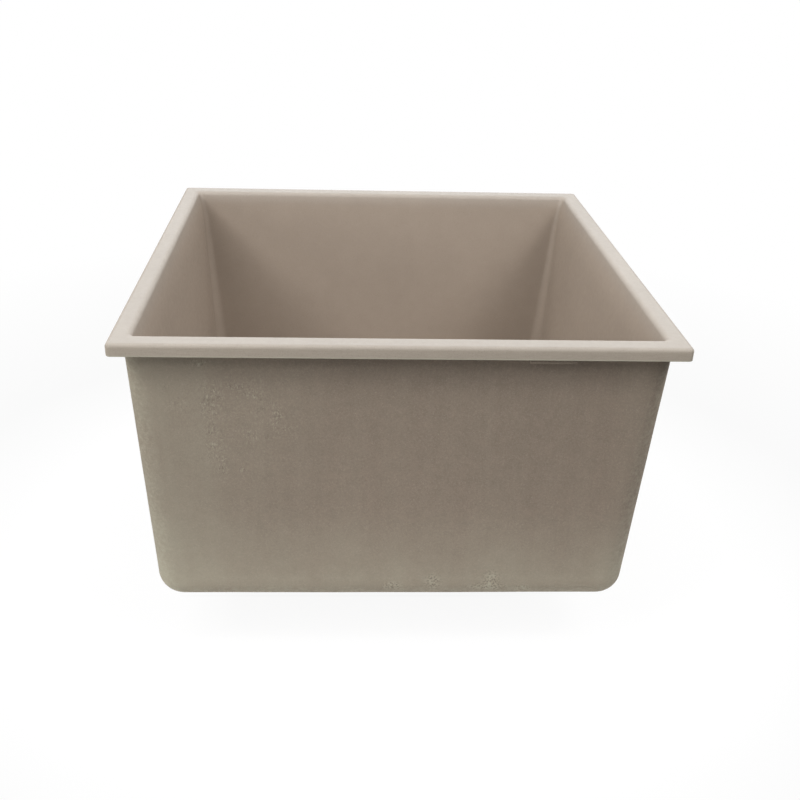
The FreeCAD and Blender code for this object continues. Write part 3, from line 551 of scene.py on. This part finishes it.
class BowlSkin:
    """The casting's skin as a ring of loops, from the drain under the base and back to it."""

    def __init__(self, sizes):
        self.s = sizes
        self.loops, self.kinds, self.wears, self.sanded_and_sheen = [], [], [], []
        self.base_level = -sizes.bowl_height
        self.floor_level = sizes.floor_thickness - sizes.bowl_height
        self.base()
        self.outer_walls()
        self.rim()
        self.mouth()
        self.inner_walls()
        self.drain()

    def put(self, loop, kind, wear=0.0, sanded_and_sheen=0.0):
        self.loops.append(loop)
        self.kinds.append(kind)
        self.wears.append(wear)
        self.sanded_and_sheen.append(sanded_and_sheen)

    def outer(self, level, inset=0.0):
        """A loop on the outer walls, drawn in by the inset."""
        s = self.s
        share = (-s.rim_thickness - level) / (s.bowl_height - s.rim_thickness)
        corner = s.outer_corner + (s.base_edge + s.corner_blend - s.outer_corner) * share
        cut = (-s.rim_thickness - level) * math.tan(s.draft) + inset
        half_x = s.rim_width / 2 - s.side_overhang - cut
        half_y = s.rim_depth / 2 - s.front_overhang - cut
        return rounded_loop(half_x, half_y, corner - inset, level)

    def inner(self, level, side_inset=0.0, front_inset=0.0):
        """A loop on the inner walls, drawn in by the insets."""
        s = self.s
        share = -level / -self.floor_level
        corner = s.inner_corner + (s.floor_edge + s.corner_blend - s.inner_corner) * share
        cut = (-s.rim_thickness - level) * math.tan(s.inner_draft)
        half_x = s.rim_width / 2 - s.side_overhang - s.side_wall - cut - side_inset
        half_y = s.rim_depth / 2 - s.front_overhang - s.wall - cut - front_inset
        return rounded_loop(half_x, half_y, corner - max(side_inset, 0.0), level)

    def rim_loop(self, cut, level):
        s = self.s
        return rounded_loop(s.rim_width / 2 - cut, s.rim_depth / 2 - cut, s.rim_corner - cut, level)

    def base(self):
        """Base, from the drain hole outwards and up round its edge."""
        s = self.s
        centre = self.base_level + s.base_edge
        reach = s.base_edge / math.cos(s.draft)
        flat = at_level(self.outer(centre, reach), self.base_level)
        ring = circle_like(flat, s.drain_radius + LIP_BEVEL, self.base_level)
        clamp = circle_like(flat, CLAMP_RADIUS, self.base_level)
        for loop in (ring, *between(ring, clamp, RING_STEPS), *between(clamp, flat, BASE_STEPS)):
            self.put(loop, "back")
        sweep = math.pi / 2 - s.draft
        for step in range(1, EDGE_STEPS + 1):
            turn = sweep * step / EDGE_STEPS
            loop = self.outer(centre, reach - s.base_edge * math.sin(turn))
            level = centre - s.base_edge * math.cos(turn)
            self.put(at_level(loop, level), "back", math.sin(math.pi * step / EDGE_STEPS))
        self.wall_foot = level

    def outer_walls(self):
        """Outer walls up to the fillet under the rim."""
        s = self.s
        top = -s.rim_thickness - s.rim_fillet
        rise = top - self.wall_foot
        for step in range(1, WALL_STEPS + 1):
            level = self.wall_foot + rise * step / WALL_STEPS
            self.put(self.outer(level), "back", FOOT_WEAR if step == 1 else 0.0)
        for step in range(1, FILLET_STEPS + 1):
            turn = math.pi / 2 * step / FILLET_STEPS
            loop = self.outer(top, -s.rim_fillet * (1 - math.cos(turn)))
            self.put(at_level(loop, top + s.rim_fillet * math.sin(turn)), "back")

    def rim(self):
        """Underside, nipped lower edge, upright edge and rounded top edge of the rim."""
        s = self.s
        nip, low = s.rim_nip, -s.rim_thickness
        for loop in between(self.loops[-1], self.rim_loop(nip, low), RING_STEPS):
            self.put(loop, "back")
        # the nipped lower edge gets a chalk band: a painted highlight along the rim's lower edge
        for step in range(1, NIP_STEPS + 1):
            turn = math.pi / 2 * step / NIP_STEPS
            loop = self.rim_loop(nip * (1 - math.sin(turn)), low + nip * (1 - math.cos(turn)))
            self.put(loop, "edge", 1.0)
        self.put(self.rim_loop(0.0, low + 2 * nip), "edge", 1.0)
        self.put(self.rim_loop(0.0, low + 4 * nip), "edge")
        upright = s.rim_thickness - nip - s.rim_edge
        for share in (2 / 3, 1):
            self.put(self.rim_loop(0.0, low + nip + upright * share), "edge")
        # the top edge's rounding grows paler to the top: sanded, and a painted sheen
        for step in range(1, RIM_EDGE_STEPS + 1):
            turn = math.pi / 2 * step / RIM_EDGE_STEPS
            loop = self.rim_loop(s.rim_edge * (1 - math.cos(turn)), -s.rim_edge * (1 - math.sin(turn)))
            self.put(loop, "edge", sanded_and_sheen=step / RIM_EDGE_STEPS)

    def mouth(self):
        """Flat of the rim and its rounding into the bowl: a tight arc, then a long one."""
        s = self.s
        lean = math.tan(s.inner_draft)
        sweep = math.pi / 2 - s.inner_draft
        edge, slope = s.mouth_edge, s.mouth_slope
        edge_in, edge_down = edge * math.sin(slope), edge * (1 - math.cos(slope))
        long_in = math.sin(sweep) - math.sin(slope)
        long_down = math.cos(slope) - math.cos(sweep)

        def long_radius(reach):
            return (reach - edge_in + edge_down * lean) / (long_in - long_down * lean)

        def stand_off(level, reach):
            """Inset of the rounding from the wall's line."""
            if level > -edge_down:
                return level * lean - reach + edge * math.sin(math.acos(1 + level / edge))
            radius = long_radius(reach)
            drop = math.cos(slope) + (level + edge_down) / radius
            if drop <= math.cos(sweep):
                return 0.0
            return level * lean - reach + edge_in + radius * (math.sin(math.acos(drop)) - math.sin(slope))

        def mouth_loop(level):
            return self.inner(level, stand_off(level, s.side_mouth), stand_off(level, s.front_mouth))

        # the flat and the mouth's roundings are paler towards the top: sanded, and a painted sheen that
        # fades as they turn down
        for loop in between(self.loops[-1], mouth_loop(0.0), RIM_TOP_STEPS):
            self.put(loop, "face", sanded_and_sheen=1.0)
        for step in range(1, MOUTH_STEPS + 1):
            share = step / MOUTH_STEPS
            loop = mouth_loop(-edge * (1 - math.cos(slope * share)))
            self.put(loop, "face", sanded_and_sheen=1 - (1 - MOUTH_SANDED_AND_SHEEN) * share)
        fall = long_radius(s.side_mouth) * long_down
        for step in range(1, MOUTH_STEPS + 1):
            loop = mouth_loop(-edge_down - fall * step / MOUTH_STEPS)
            self.put(loop, "face", sanded_and_sheen=max(0.0, MOUTH_SANDED_AND_SHEEN * (1 - step / SANDED_AND_SHEEN_STEPS)))
        self.wall_top = -edge_down - fall

    def inner_walls(self):
        """Inner walls, and the rounding at the edge of the floor."""
        s = self.s
        sweep = math.pi / 2 - s.inner_draft
        centre = self.floor_level + s.floor_edge
        drop = centre - s.floor_edge * math.cos(sweep) - self.wall_top
        for step in range(1, WALL_STEPS + 1):
            self.put(self.inner(self.wall_top + drop * step / WALL_STEPS), "face")
        for step in range(1, EDGE_STEPS + 1):
            turn = sweep * (1 - step / EDGE_STEPS)
            inset = s.floor_edge / math.cos(s.inner_draft) - s.floor_edge * math.sin(turn)
            level = centre - s.floor_edge * math.cos(turn)
            self.put(at_level(self.inner(centre, inset, inset), level), "face")

    def drain(self):
        """Floor, falling to the strainer's seat, and the hole through it."""
        s = self.s
        drain_level = self.floor_level - s.floor_fall
        seat_level = drain_level - s.seat_depth
        land = circle_like(self.loops[-1], s.seat_radius + s.land, drain_level)
        lip = circle_like(land, s.seat_radius + LIP_BEVEL, drain_level)
        for loop in between(self.loops[-1], land, FLOOR_STEPS) + between(land, lip, LAND_STEPS):
            self.put(loop, "face")
        rings = (
            (s.seat_radius, drain_level - LIP_BEVEL),
            (s.seat_radius, seat_level + SEAT_BEVEL),
            (s.seat_radius - SEAT_BEVEL, seat_level),
            (s.drain_radius + HOLE_BEVEL, seat_level),
            (s.drain_radius, seat_level - HOLE_BEVEL),
        )
        for radius, level in rings:
            self.put(circle_like(land, radius, level), "face")
        self.put(circle_like(land, s.drain_radius, self.base_level + LIP_BEVEL), "back")


def uneven(point, amount):
    """A small shift of the cast back, the same at every run."""
    wave = noise.noise(point * BROAD_WAVES) + 0.5 * noise.noise(point * FINE_WAVES + FINE_SHIFT)
    return wave * amount


def corner_wear_and_highlight(index, point, kind):
    """Wear and painted highlight of a loop's point that lies on an upright corner of the cast back."""
    corner, along = divmod(index, SIDE_STEPS + CORNER_STEPS)
    if kind != "back" or along <= SIDE_STEPS or abs(point.x) <= CORNER_WEAR_AND_HIGHLIGHT_FROM:
        return 0.0
    return CORNER_WEAR_AND_HIGHLIGHT[corner] * math.sin(math.pi * (along - SIDE_STEPS) / CORNER_STEPS)


def new_piece(name, build):
    """An object with the built mesh, in the scene."""
    mesh = bpy.data.meshes.new(name)
    build.to_mesh(mesh)
    build.free()
    piece = bpy.data.objects.new(name, mesh)
    bpy.context.scene.collection.objects.link(piece)
    return piece


def closed_ring_piece(name, skin):
    """Joins loop to loop all the way round into one closed skin."""
    build = bmesh.new()
    wear_and_highlight_layer = build.verts.layers.float.new("wear")
    sanded_and_sheen_layer = build.verts.layers.float.new("sanded_and_sheen")
    rows = []
    for loop, kind, wear, sanded_and_sheen in zip(skin.loops, skin.kinds, skin.wears, skin.sanded_and_sheen):
        row = []
        for index, point in enumerate(loop):
            vert = build.verts.new(point)
            vert[wear_and_highlight_layer] = max(wear, corner_wear_and_highlight(index, point, kind))
            vert[sanded_and_sheen_layer] = sanded_and_sheen
            row.append(vert)
        rows.append(row)
    for r, row in enumerate(rows):
        ahead = (r + 1) % len(rows)
        following = rows[ahead]
        for i in range(len(row)):
            j = (i + 1) % len(row)
            face = build.faces.new((row[i], row[j], following[j], following[i]))
            face.material_index = FINISH_SLOTS[skin.kinds[ahead]]
            face.smooth = True
    bmesh.ops.recalc_face_normals(build, faces=build.faces)
    build.normal_update()
    low = skin.base_level + BASE_MARGIN
    high = -skin.s.rim_thickness - skin.s.rim_fillet / 2
    for row, kind in zip(rows, skin.kinds):
        for vert in row:
            if kind == "back" and low < vert.co.z < high:
                vert.co += vert.normal * uneven(vert.co, skin.s.waviness)
    return new_piece(name, build)


GATE_ROOT = 0.001
GATE_BEVEL = 0.0005
GATE_FOOT = 0.0004


def gate_stub(s):
    """The stub that is left of the casting gate, let into the wall and the rim."""
    size = (s.gate_width, s.front_overhang - s.gate_setback + s.wall / 3, s.gate_height + GATE_ROOT)
    front = s.gate_setback - s.rim_depth / 2
    top = GATE_ROOT - s.rim_thickness
    middle = Vector((s.gate_position, front + size[1] / 2, top - size[2] / 2))
    build = bmesh.new()
    block = Matrix.Translation(middle) @ Matrix.Diagonal((*size, 1.0))
    bmesh.ops.create_cube(build, size=1.0, matrix=block)
    edges = build.edges[:]
    bmesh.ops.bevel(build, geom=edges, offset=GATE_BEVEL, segments=2, affect="EDGES", profile=0.5)
    bmesh.ops.recalc_face_normals(build, faces=build.faces)
    # chalk on the front of the stub's foot: a painted highlight where its lower edge catches the light
    wear_and_highlight_layer = build.verts.layers.float.new("wear")
    for vert in build.verts:
        at_foot = vert.co.z < top - size[2] + GATE_FOOT
        vert[wear_and_highlight_layer] = 1.0 if at_foot and vert.co.y < front + GATE_FOOT else 0.0
    return new_piece("gate_stub", build)


class SINK_OT_bowl(bpy.types.Operator):
    """Build the cast bowl's skin over its solid."""

    bl_idname = "sink.bowl"
    bl_label = "Cast bowl"

    def execute(self, context):
        sizes, colours = context.scene.sink_sizes, context.scene.sink_colours
        piece = closed_ring_piece("cast_bowl", BowlSkin(sizes))
        back = back_finish(colours)
        for finish in (face_finish(colours), edge_finish(colours), back):
            piece.data.materials.append(finish)
        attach(piece, "sink")
        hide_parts("bowl")
        stub = gate_stub(sizes)
        stub.data.materials.append(back)
        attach(stub, "sink")
        return {"FINISHED"}


class SINK_OT_strainer(bpy.types.Operator):
    """Give the strainer's fixed pieces, basket and stopper their finishes."""

    bl_idname = "sink.strainer"
    bl_label = "Strainer finishes"

    def execute(self, context):
        c = context.scene.sink_colours
        steel = turned_metal("brushed_steel", c.steel, rough=0.27, lines=2600.0, depth=0.00006)
        basket = turned_metal(
            "basket_steel", scaled(c.steel, 0.95), rough=0.33, lines=1500.0, depth=0.00008)
        brass = turned_metal("turned_brass", c.brass, rough=0.30, lines=2200.0, depth=0.00008)
        rubber = soft_finish("seal_rubber", c.rubber, rough=0.68, scale=700.0, depth=0.0001)
        card = soft_finish("slip_card", c.card, rough=0.85, scale=900.0, depth=0.0001)
        zinc = cast_metal("cast_zinc", c.zinc, rough=0.46)
        plastic = soft_finish("knob_plastic", c.knob, rough=0.24, scale=500.0, depth=0.00004)
        finishes = {
            "strainer_shell": steel, "guide_cross": steel, "stopper_post": steel, "stopper_plate": steel,
            "basket": basket, "basket_hub": basket, "hub_ring": basket,
            "outlet_spigot": brass, "stopper_nut": brass,
            "flange_seal": rubber, "rubber_gasket": rubber, "grip_ring": rubber, "stopper_seal": rubber,
            "friction_ring": card, "lock_nut": zinc, "lift_knob": plastic,
        }
        for node, finish in finishes.items():
            NODES[node].data.materials.clear()
            NODES[node].data.materials.append(finish)
        return {"FINISHED"}


THREAD_STEPS = 48
THREAD_SIDES = 6

# ends of the threads: the cup's from just inside the lock nut, the outlet's along its own cylinder
CUP_THREAD_LAP = 0.0005
CUP_THREAD_RUN = 0.011
OUTLET_THREAD_SINK = 0.0002
OUTLET_THREAD_DROP = 0.0034
OUTLET_THREAD_RISE = 0.0012


def thread_tree():
    """A ridge that winds up a cylinder, as a node tree with its sizes as inputs."""
    tree = bpy.data.node_groups.new("screw_thread", "GeometryNodeTree")
    face = tree.interface
    face.new_socket("Geometry", in_out="INPUT", socket_type="NodeSocketGeometry")
    for name in ("Radius", "Turns", "Length", "Ridge", "Level"):
        face.new_socket(name, in_out="INPUT", socket_type="NodeSocketFloat")
    face.new_socket("Finish", in_out="INPUT", socket_type="NodeSocketMaterial")
    face.new_socket("Geometry", in_out="OUTPUT", socket_type="NodeSocketGeometry")
    inputs = tree.nodes.new("NodeGroupInput").outputs

    def add(kind, **links):
        node = tree.nodes.new(kind)
        for key, source in links.items():
            socket = node.inputs[key.replace("_", " ")]
            if isinstance(source, bpy.types.NodeSocket):
                tree.links.new(source, socket)
            else:
                socket.default_value = source
        return node.outputs[0]

    helix = add(
        "GeometryNodeCurveSpiral", Resolution=THREAD_STEPS, Rotations=inputs["Turns"],
        Start_Radius=inputs["Radius"], End_Radius=inputs["Radius"], Height=inputs["Length"], Reverse=False)
    profile = add("GeometryNodeCurvePrimitiveCircle", Resolution=THREAD_SIDES, Radius=inputs["Ridge"])
    ridge = add("GeometryNodeCurveToMesh", Curve=helix, Profile_Curve=profile, Fill_Caps=True)
    lift = add("ShaderNodeCombineXYZ", Z=inputs["Level"])
    moved = add("GeometryNodeTransform", Geometry=ridge, Translation=lift)
    smooth = add("GeometryNodeSetShadeSmooth", Geometry=moved)
    whole = add("GeometryNodeRealizeInstances", Geometry=smooth)
    painted = add("GeometryNodeSetMaterial", Geometry=whole, Material=inputs["Finish"])
    tree.links.new(painted, tree.nodes.new("NodeGroupOutput").inputs[0])
    return tree


def grown(name, tree, values):
    """Runs a node tree on an empty mesh and keeps the result as a plain mesh."""
    piece = bpy.data.objects.new(name, bpy.data.meshes.new(name))
    bpy.context.scene.collection.objects.link(piece)
    modifier = piece.modifiers.new("grow", "NODES")
    modifier.node_group = tree
    for item in tree.interface.items_tree:
        if item.in_out == "INPUT" and item.name in values:
            modifier[item.identifier] = values[item.name]
    evaluated = piece.evaluated_get(bpy.context.evaluated_depsgraph_get())
    mesh = bpy.data.meshes.new_from_object(evaluated)
    piece.modifiers.clear()
    piece.data = mesh
    mesh.name = name
    if not mesh.polygons:
        raise RuntimeError(f"{name} came out empty")
    return piece


class SINK_OT_threads(bpy.types.Operator):
    """Wind the threads on the strainer's cup and on the outlet."""

    bl_idname = "sink.threads"
    bl_label = "Threads"

    def execute(self, context):
        s = context.scene.sink_sizes
        cup_ends = NUT_LOW + CUP_THREAD_LAP, NUT_LOW - CUP_THREAD_RUN
        outlet_ends = SHELL_LOW - OUTLET_THREAD_DROP, SPIGOT_LOW + OUTLET_THREAD_RISE
        outlet_radius = s.spigot_radius - OUTLET_THREAD_SINK
        tree = thread_tree()
        runs = (
            ("cup_thread", s.cup_radius, cup_ends, "brushed_steel", "stainless"),
            ("outlet_thread", outlet_radius, outlet_ends, "turned_brass", "brass"),
        )
        for name, radius, (high, low), finish, slot in runs:
            values = {
                "Radius": radius, "Turns": (high - low) / s.thread_pitch, "Length": high - low,
                "Ridge": s.thread_height, "Level": low, "Finish": bpy.data.materials[finish],
            }
            piece = grown(name, tree, values)
            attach(piece, "sink")
        return {"FINISHED"}


CAMERA_PLACE = (-0.04723, -0.88105, 0.29274)
CAMERA_YAW = math.radians(2.751)
CAMERA_PITCH = math.radians(26.779)
CAMERA_ROLL = math.radians(-1.635)
SENSOR_MM = 36.0
LENS_MM = 45.0
LENS_SHIFT = 0.02375

FLOOR_HALF = 6.0
FLOOR_GAP = 0.0005
FLOOR_FAR = (0.12, 0.12, 0.12)
FLOOR_NEAR = (0.92, 0.92, 0.92)
FLOOR_WHITE_SHARE = 0.93
WHITE = (1, 1, 1, 1)

# lamps: name, place, point aimed at, width and height, power, whether reflections show it
BOWL_MIDDLE = (0.0, 0.0, -0.1)
LAMPS = (
    ("front_left_strip", (-1.1, -1.1, 1.5), BOWL_MIDDLE, (0.5, 1.5), 26.1, True),
    ("front_right_strip", (1.1, -1.1, 1.5), BOWL_MIDDLE, (0.5, 1.5), 20.5, True),
    ("left_key", (-1.0, -0.55, 0.9), BOWL_MIDDLE, (0.3, 0.3), 5.6, False),
    ("right_key", (0.9, -0.65, 1.15), BOWL_MIDDLE, (0.3, 0.3), 6.0, False),
    ("right_box", (1.6, -0.3, 1.0), BOWL_MIDDLE, (1.0, 1.2), 4.2, True),
    ("low_left_box", (-1.8, -1.4, 0.3), BOWL_MIDDLE, (0.8, 1.0), 15.4, True),
    ("back_box", (0.0, 0.8, 1.6), BOWL_MIDDLE, (2.0, 0.8), 26.3, False),
    ("backdrop", (0.0, 2.2, 0.95), (0.0, 0.0, -0.05), (3.2, 1.7), 14.8, True),
)


def area_light(name, place, target, size, power, mirrored):
    """A rectangular lamp aimed at a point, left out of reflections where it would burn out the steel."""
    data = bpy.data.lights.new(name, "AREA")
    data.shape = "RECTANGLE"
    data.size, data.size_y = size
    data.energy = power
    lamp = bpy.data.objects.new(name, data)
    lamp.visible_glossy = mirrored
    lamp.location = place
    aim = Vector(target) - Vector(place)
    lamp.rotation_euler = aim.to_track_quat("-Z", "Y").to_euler()
    bpy.context.scene.collection.objects.link(lamp)


def seen_as_white(tree, shade, glow, share):
    """Shows a surface or sky as white to the camera and in reflections, by a share."""

    def math_node(operation, *sources):
        node = tree.nodes.new("ShaderNodeMath")
        node.operation = operation
        for socket, source in zip(node.inputs, sources):
            if isinstance(source, bpy.types.NodeSocket):
                tree.links.new(source, socket)
            else:
                socket.default_value = source
        return node.outputs[0]

    path = tree.nodes.new("ShaderNodeLightPath").outputs
    seen = path["Is Camera Ray"]
    for ray in ("Is Glossy Ray", "Is Transmission Ray"):
        seen = math_node("MAXIMUM", seen, path[ray])
    mixed = tree.nodes.new("ShaderNodeMixShader")
    tree.links.new(math_node("MULTIPLY", seen, share), mixed.inputs[0])
    tree.links.new(shade, mixed.inputs[1])
    tree.links.new(glow, mixed.inputs[2])
    return mixed.outputs[0]


class SINK_OT_stage(bpy.types.Operator):
    """Set up the camera, floor, sky and lamps."""

    bl_idname = "sink.stage"
    bl_label = "Stage"

    def execute(self, context):
        scene = context.scene
        scene.view_settings.view_transform = "Standard"
        self.camera(scene)
        self.floor()
        self.sky(scene)
        for lamp in LAMPS:
            area_light(*lamp)
        return {"FINISHED"}

    def camera(self, scene):
        ahead = Vector((
            math.sin(CAMERA_YAW) * math.cos(CAMERA_PITCH),
            math.cos(CAMERA_YAW) * math.cos(CAMERA_PITCH),
            -math.sin(CAMERA_PITCH),
        ))
        level = Vector((math.cos(CAMERA_YAW), -math.sin(CAMERA_YAW), 0))
        down = ahead.cross(level)
        right = level * math.cos(CAMERA_ROLL) + down * math.sin(CAMERA_ROLL)
        below = level * -math.sin(CAMERA_ROLL) + down * math.cos(CAMERA_ROLL)
        data = bpy.data.cameras.new("camera")
        data.sensor_width = SENSOR_MM
        data.lens = LENS_MM
        data.shift_x = LENS_SHIFT
        data.clip_start, data.clip_end = 0.01, 50
        camera = bpy.data.objects.new("camera", data)
        turn = Matrix((right, -below, -ahead)).transposed()
        camera.matrix_world = Matrix.Translation(CAMERA_PLACE) @ turn.to_4x4()
        scene.collection.objects.link(camera)
        scene.camera = camera

    def floor(self):
        build = bmesh.new()
        bmesh.ops.create_grid(build, x_segments=1, y_segments=1, size=FLOOR_HALF)
        floor = new_piece("floor", build)
        floor.data.transform(Matrix.Translation((0, 0, CAD_LOW[2] - FLOOR_GAP)))
        finish = Finish("floor")
        finish.set(Roughness=0.9, Specular_IOR_Level=0.0)
        middle = (0.0, 0.0, CAD_LOW[2])
        around_bowl = finish.near(middle, radius=0.36, soft=0.16)
        finish.colour(finish.mix(around_bowl, FLOOR_FAR, FLOOR_NEAR))
        in_shadow = finish.near(middle, radius=0.35, soft=0.65)
        share = finish.span(in_shadow, 0.0, 1.0, 1.0, FLOOR_WHITE_SHARE)
        glow = finish.add("ShaderNodeEmission", {"Strength": 1.0}).outputs[0]
        shown = seen_as_white(finish.tree, finish.shader.outputs[0], glow, share)
        finish.tree.links.new(shown, finish.tree.nodes["Material Output"].inputs["Surface"])
        floor.data.materials.append(finish.material)
        floor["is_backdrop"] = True

    def sky(self, scene):
        world = bpy.data.worlds.new("sky")
        scene.world = world
        world.use_nodes = True
        tree = world.node_tree
        light = tree.nodes["Background"]
        white = tree.nodes.new("ShaderNodeBackground")
        for node, strength in ((light, 0.0), (white, 1.0)):
            node.inputs["Color"].default_value = WHITE
            node.inputs["Strength"].default_value = strength
        shown = seen_as_white(tree, light.outputs[0], white.outputs[0], 1.0)
        tree.links.new(shown, tree.nodes["World Output"].inputs["Surface"])


class SINK_PT_panel(bpy.types.Panel):
    """Lists the sink's steps and sizes."""

    bl_idname = "SINK_PT_panel"
    bl_label = "Composite sink"
    bl_space_type = "VIEW_3D"
    bl_region_type = "UI"
    bl_category = "Sink"

    def draw(self, context):
        for operator in OPERATORS:
            self.layout.operator(operator.bl_idname)
        for group in (context.scene.sink_sizes, context.scene.sink_colours):
            for name in group.__annotations__:
                self.layout.prop(group, name)


OPERATORS = (SINK_OT_stage, SINK_OT_bowl, SINK_OT_strainer, SINK_OT_threads)
CLASSES = (SinkSizes, SinkColours, *OPERATORS, SINK_PT_panel)


def register():
    for cls in CLASSES:
        bpy.utils.register_class(cls)
    bpy.types.Scene.sink_sizes = bpy.props.PointerProperty(type=SinkSizes)
    bpy.types.Scene.sink_colours = bpy.props.PointerProperty(type=SinkColours)


def unregister():
    del bpy.types.Scene.sink_colours
    del bpy.types.Scene.sink_sizes
    for cls in reversed(CLASSES):
        bpy.utils.unregister_class(cls)


def main():
    register()
    bpy.ops.sink.stage()
    bpy.ops.sink.bowl()
    bpy.ops.sink.strainer()
    bpy.ops.sink.threads()


if __name__ == "__main__":
    main()
